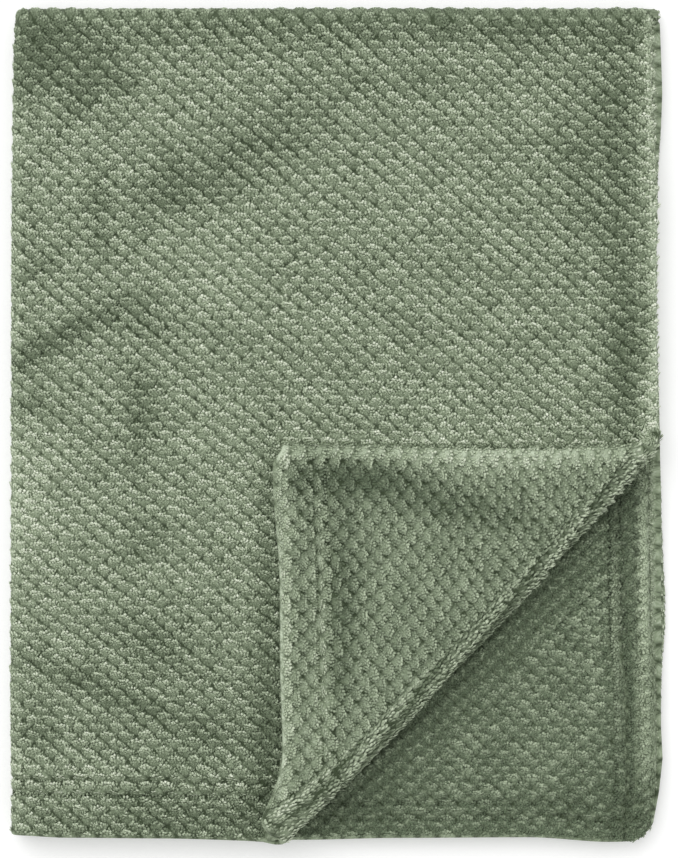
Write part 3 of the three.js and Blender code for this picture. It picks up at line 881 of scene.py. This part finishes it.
def tuft_feet(face):
    """The feet of all locks on the face or the back: place, direction, paler by, and part of the pile."""
    last = int(CLOTH_ACROSS / BOBBLE_ACROSS + CLOTH_ALONG / BOBBLE_ALONG) + 2
    rise, fall = np.meshgrid(np.arange(last), np.arange(-last // 2, last // 2))
    tuft_u, tuft_v = (rise + fall) / 2, (rise - fall) / 2
    inside = (tuft_u > -0.5) & (tuft_u < CLOTH_ACROSS / BOBBLE_ACROSS + 0.5)
    inside &= (tuft_v > -0.5) & (tuft_v < CLOTH_ALONG / BOBBLE_ALONG + 0.5)
    tuft_u, tuft_v = tuft_u[inside], tuft_v[inside]
    chance = np.random.default_rng(31 + face)
    swirl, size, tone, turn = chance.uniform(-1, 1, (4, len(tuft_u)))
    slant = slant_side(tuft_u * BOBBLE_ACROSS, face)
    locks = []
    for along, half_width, count, paler, brushed in TUFT_ROWS:
        for share in np.linspace(-1, 1, count if face else count + 1):
            astray = chance.uniform(-1, 1, (3, len(tuft_u)))
            a = share * half_width * (1 + 0.12 * size) * (1 if face else BACK_SPREAD)
            a = a + LOCK_ASTRAY * astray[0]
            b = along - 0.10 * half_width * share**2 + LOCK_ASTRAY * astray[1]
            b = b - TUFT_DROOP * np.maximum(0, share * slant) + (0 if face else BACK_TILT * a)
            a, b = a - (TUFT_SLANT * slant + TUFT_TURN * turn) * b, b + TUFT_TURN * turn * a
            side = LOCK_FAN * share + LOCK_SWIRL * swirl + LOCK_STRAY * astray[2] - 0.4 * slant
            # painted light: the rows' shade as listed, the tuft's sides painted darker, and its own random
            # tone
            shades = [row * (1 - 0.6 * share**2) + 0.10 * tone - 0.08 * share**2 for row in (paler, brushed)]
            locks.append(np.stack([tuft_u + a / BOBBLE_ACROSS, tuft_v + b / BOBBLE_ALONG, side, *shades]))
    across, along, side, paler, brushed = np.concatenate(locks, axis=1)
    u, v = cloth_place(across, along)
    part = pile_part(u, v, face)
    paler = np.where(np.isin(part, (FLAP, LOWER)), brushed, paler)
    gap = stitch_grooves(u, v, STITCH_GAP * (1 if face else 0.6))
    keep = (part > 0) & (chance.uniform(0, 1, len(u)) > 1.1 * gap)
    u, v, side, paler, part = (values[keep] for values in (u, v, side, paler, part))
    foot, spread, comb, out = cloth_frame(u, v, face)
    at_fold = ease((v - BACK_CENTRE + 0.006) / 0.006) + ease((LEFT_FOLD - u + 0.004) / 0.006)
    lean = LOCK_LEAN + FOLD_LEAN * np.minimum(at_fold, 1)
    x, y, radius, past = beside_bend(u, v)
    at_bend = on_bend(u, past, radius) * in_flap_layers(u, v) * face
    at_edge = ease((SIDE_HEM[0] - u) / SIDE_HEM[1])
    for share, (along, across) in ((at_bend, BEND_LEAN), (at_edge, EDGE_LEAN)):
        lean, side = lean + share * (along - lean), side + share * (across + 0.2 * side - side)
    way = one_long(out + lean[:, None] * comb + side[:, None] * spread)
    # where the bobble rises in front of a lock, the lock lies up against it
    step = LOCK_STEP / np.hypot(lean, side)
    slope = one_long(surface(u + step * side, v + step * lean, face) + LOCK_LIFT * out - foot)
    steeper = (slope * out).sum(1) > (way * out).sum(1)
    way = np.where(steeper[:, None], slope, way)
    # on the bend, painted highlights on the ridges and painted shade in their furrows, then the tables'
    # painted light and shade
    ridge = ridge_shape(u, v) - 0.6
    paler = paler * (1 - 0.6 * at_edge)
    paler = paler + at_bend * (0.9 * ridge - paler) + nap(part, foot[:, 0], foot[:, 1])
    part = np.where((part == FLAP) & (at_bend > 0.5), BEND, part)
    part = np.where((part == BEND) & (ridge < BEND_BARE), 0, part)
    clear = (foot[:, 2] + LOCK_REACH * np.minimum(way[:, 2], 0) > FLOOR_GAP) & (part > 0)
    return [values[clear] for values in (foot - SUNK * out, way, out, paler, part)]


def points_mesh(foot, way, out, paler):
    """Loose points that carry the directions and the shade of what grows on them."""
    points = bpy.data.meshes.new("points")
    points.from_pydata(foot.tolist(), [], [])
    for name, values in (("way", way), ("out", out)):
        points.attributes.new(name, "FLOAT_VECTOR", "POINT").data.foreach_set("vector", values.ravel())
    points.attributes.new("paler", "FLOAT", "POINT").data.foreach_set("value", paler)
    return points


def new_tree(name, given, result):
    """An empty tree of Geometry Nodes with these named inputs, and its wires from them."""
    tree = bpy.data.node_groups.new(name, "GeometryNodeTree")
    for label, kind in given:
        tree.interface.new_socket(label, in_out="INPUT", socket_type="NodeSocket" + kind)
    tree.interface.new_socket(result, in_out="OUTPUT", socket_type="NodeSocketGeometry")
    group = tree.nodes.new("NodeGroupInput")
    return tree, {label: Wire(tree, group.outputs[label]) for label, _ in given}


def named(tree, name, kind="FLOAT"):
    return add_node(tree, "GeometryNodeInputNamedAttribute", {"data_type": kind}, Name=name)


def stored(tree, geometry, name, kind, domain, value):
    settings = {"data_type": kind, "domain": domain}
    return add_node(tree, "GeometryNodeStoreNamedAttribute", settings,
                    Geometry=geometry, Name=name, Value=value)


def set_on_points(tree, points, shape, size, finish, result, keep_before_finish=None):
    """Sets a shape on each point, its length along the way and its ridge out, all as one smooth mesh."""
    turn = add_node(tree, "FunctionNodeAlignRotationToVector", {"axis": "Z"},
                    Vector=named(tree, "way", "FLOAT_VECTOR"))
    turn = add_node(tree, "FunctionNodeAlignRotationToVector", {"axis": "X", "pivot_axis": "Z"},
                    Rotation=turn, Vector=named(tree, "out", "FLOAT_VECTOR"))
    placed = add_node(tree, "GeometryNodeInstanceOnPoints",
                      Points=points, Instance=shape, Rotation=turn, Scale=size)
    placed = add_node(tree, "GeometryNodeRealizeInstances", Geometry=placed)
    if keep_before_finish:
        placed = keep_before_finish(placed)
    placed = add_node(tree, "GeometryNodeSetShadeSmooth", Geometry=placed)
    placed = add_node(tree, "GeometryNodeSetMaterial", Geometry=placed, Material=finish)
    output = tree.nodes.new("NodeGroupOutput")
    tree.links.new(placed.socket, output.inputs[result])


def pile_tree():
    """Sets a lock on every foot. A lock is closed, flat and three sided, and widest near its tip."""
    tree, given = new_tree("pile of locks", [
        ("Feet", "Geometry"), ("Length", "Float"), ("Width", "Float"), ("Shade", "Float"),
        ("Depth of shade", "Float"), ("Seed", "Int"), ("Finish", "Material"),
    ], "Pile")

    def chance(low, high, offset):
        return add_node(tree, "FunctionNodeRandomValue", {"data_type": "FLOAT"}, 1,
                        in2=low, in3=high, Seed=given["Seed"] + offset)

    lock = add_node(tree, "GeometryNodeMeshUVSphere", Segments=3, Rings=2, Radius=1.0)
    x, y, z = add_node(tree, "GeometryNodeInputPosition").parts()
    up = z * 0.5 + 0.70 - z * z * 0.20
    lock = add_node(tree, "GeometryNodeSetPosition", Geometry=lock, Position=vector(tree, x, y, up))
    lock = stored(tree, lock, "up_lock", "FLOAT", "POINT", up)
    lock = stored(tree, lock, "round_lock", "FLOAT", "POINT", y)
    width, length = given["Width"] * chance(0.75, 1.25, 1), given["Length"] * chance(0.75, 1.2, 2)
    shade = given["Shade"] + (named(tree, "paler") + chance(-0.05, 0.05, 3)) * given["Depth of shade"]
    feet = add_node(tree, "GeometryNodeMeshToPoints", Mesh=given["Feet"])
    feet = stored(tree, feet, "shade", "FLOAT", "POINT", shade)

    def keep_shade(locks):
        """The pile's map: the shade of each lock across it, and the height up the lock along it."""
        shade = named(tree, "shade") + named(tree, "round_lock") * 0.025
        shade = shade.maths("MAXIMUM", 0.03).maths("MINIMUM", 0.97)
        place = vector(tree, shade, named(tree, "up_lock") * 0.94 + 0.03, 0.0)
        return stored(tree, locks, "OFBake", "FLOAT2", "CORNER", place)

    size = vector(tree, width * LOCK_FLATNESS, width, length)
    set_on_points(tree, feet, lock, size, given["Finish"], "Pile", keep_shade)
    return tree


def pile_material(name, darkest, streaks):
    material, tree = new_material(name)
    shade, up, _ = add_node(tree, "ShaderNodeUVMap", {"uv_map": "OFBake"}).parts()
    # fibres run up each lock and draw together at its tip
    fibres = add_node(
        tree, "ShaderNodeTexNoise", {"noise_dimensions": "1D"},
        W=shade, Scale=32.0, Detail=0.0, Roughness=0.5,
    )
    # each lock painted a little darker at its root, as shade
    tone = shade * 0.94 + up * 0.06 + (fibres - 0.5) * (1 - up * 0.5) * streaks
    colour = blend_colours(tree, tone, darkest, (186, 199, 171), (243, 249, 230))
    finish_matt(tree, colour, roughness=0.85, sheen=0.15)
    return material


def grow(name, tree, points, **values):
    """Runs a tree on these points, and makes its result a piece of its own."""
    holder = add_object(name + "_points", points)
    modifier = holder.modifiers.new(name, "NODES")
    modifier.node_group = tree
    for item in tree.interface.items_tree:
        key = item.name.replace(" ", "_").lower()
        if key in values:
            modifier[item.identifier] = values[key]
    seen = holder.evaluated_get(bpy.context.evaluated_depsgraph_get())
    grown = bpy.data.meshes.new_from_object(seen)
    grown.name = name
    grown.transform(to_solid)
    bpy.data.objects.remove(holder)
    piece = add_object(name, grown)
    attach(piece, "root")
    return piece


locks_tree = pile_tree()
raised = pile_material("sage pile", (94, 108, 83), 0.65)
# the brushed pile's darkest colour is deeper, so that painted shade on the lower third can show
brushed = pile_material("sage pile brushed flat", (72, 89, 64), 0.10)
foot, way, out, paler, part = (np.concatenate(sides) for sides in zip(tuft_feet(True), tuft_feet(False)))
for number, (name, shade, depth, length, width) in enumerate(PILE_PARTS, 1):
    here = part == number
    points = points_mesh(foot[here], way[here], out[here], paler[here])
    finish = brushed if number in (FLAP, LOWER) else raised
    grow(name, locks_tree, points, length=length, width=width, shade=shade,
                     depth_of_shade=depth, seed=20 + number, finish=finish)


# ---- The hems' stitches ----
# Sewing thread in two rows round every hem, a little paler than the pile, which mostly hides it. Each
# stitch is a short length of thread that dips into the cloth at both ends.
STITCH_LENGTH = 0.0034
STITCH_STEP = 0.0042
THREAD_WIDTH = 0.0006
STITCH_SUNK = 0.0004


def stitch_points(face):
    """The middle and the direction of each stitch on the face or the back, where it shows."""
    along_u = np.arange(STITCH_ROWS[0], CLOTH_ACROSS - STITCH_ROWS[0], STITCH_STEP)
    along_v = np.arange(STITCH_ROWS[0], CLOTH_ALONG - STITCH_ROWS[0], STITCH_STEP)
    rows = [(along_u, row + front_rows(along_u)) for row in STITCH_ROWS]
    rows += [(row + SIDE_ROWS_SHIFT + row_wave(along_v), along_v) for row in STITCH_ROWS]
    rows += [(along_u, np.full_like(along_u, CLOTH_ALONG - row)) for row in STITCH_ROWS]
    u, v = np.concatenate(rows, axis=1)
    across_front = np.concatenate([np.full(len(row[0]), row[0] is along_u) for row in rows])
    shows = pile_part(u, v, face) > 0
    if face:
        shows |= (v > BACK_FOLD) & (u > LOWER_THIRD) & (u < MIDDLE_THIRD)
    u, v, across_front = u[shows], v[shows], across_front[shows]
    middle, spread, comb, out = cloth_frame(u, v, face)
    return middle - STITCH_SUNK * out, np.where(across_front[:, None], spread, comb), out


def stitch_tree():
    """Lays a stitch on every point: a thin closed length of thread with round ends."""
    tree, given = new_tree("rows of stitches", [
        ("Middles", "Geometry"), ("Length", "Float"), ("Width", "Float"), ("Finish", "Material"),
    ], "Stitches")
    stitch = add_node(tree, "GeometryNodeMeshUVSphere", Segments=6, Rings=4, Radius=0.5)
    middles = add_node(tree, "GeometryNodeMeshToPoints", Mesh=given["Middles"])
    size = vector(tree, given["Width"], given["Width"], given["Length"])
    set_on_points(tree, middles, stitch, size, given["Finish"], "Stitches")
    return tree


def thread_material():
    material, tree = new_material("sage thread")
    finish_matt(tree, linear(186, 197, 174), roughness=0.6, sheen=0.1)
    return material


middle, way, out = (np.concatenate(sides) for sides in zip(stitch_points(True), stitch_points(False)))
hem_stitches = grow("hem_stitches", stitch_tree(), points_mesh(middle, way, out, np.zeros(len(middle))),
                    length=STITCH_LENGTH, width=THREAD_WIDTH, finish=thread_material())


# ---- Floor, light and camera ----
# A plain white surface under a large soft lamp from behind the pad and a white surround. The camera
# looks straight down.
bpy.ops.mesh.primitive_plane_add(size=30.0)
floor = bpy.context.object
floor.name = "floor"
floor_material, tree = new_material("white surface")
diffuse = add_node(tree, "ShaderNodeBsdfDiffuse", Color=(0.86, 0.86, 0.86, 1))
# where the camera looks at the surface itself, a little glow brings it up to white
seen = add_node(tree, "ShaderNodeLightPath")
glow = add_node(tree, "ShaderNodeEmission", Color=(1, 1, 1, 1), Strength=seen * 0.20)
show_surface(tree, add_node(tree, "ShaderNodeAddShader", in0=diffuse, in1=glow))
floor.data.materials.append(floor_material)

world = bpy.data.worlds.new("white surround")
bpy.context.scene.world = world
world.use_nodes = True
surround = world.node_tree.nodes["Background"].inputs
surround["Color"].default_value = (1, 1, 1, 1)
surround["Strength"].default_value = 0.76

lamp = bpy.data.lights.new("window", "SUN")
lamp.energy = 1.25
lamp.angle = math.radians(50)
window = add_object("window", lamp)
window.rotation_euler = Vector((0.25, -0.46, -0.90)).to_track_quat("-Z", "Y").to_euler()

FRAME_HEIGHT = 0.658  # of what the camera sees, at the pad's upper side
CAMERA_HEIGHT = 2.6
SENSOR_HEIGHT = 36.0  # in millimetres, as the lens is
camera_data = bpy.data.cameras.new("camera")
camera = add_object("camera", camera_data)
camera_data.sensor_fit = "VERTICAL"
camera_data.sensor_height = SENSOR_HEIGHT
camera_data.lens = SENSOR_HEIGHT * (CAMERA_HEIGHT - TOP_LAYER_Z) / FRAME_HEIGHT
camera.location = (0.0011, -0.0027, CAMERA_HEIGHT)  # a little off the middle of the pad
bpy.context.scene.camera = camera
bpy.context.scene.view_settings.view_transform = "Standard"
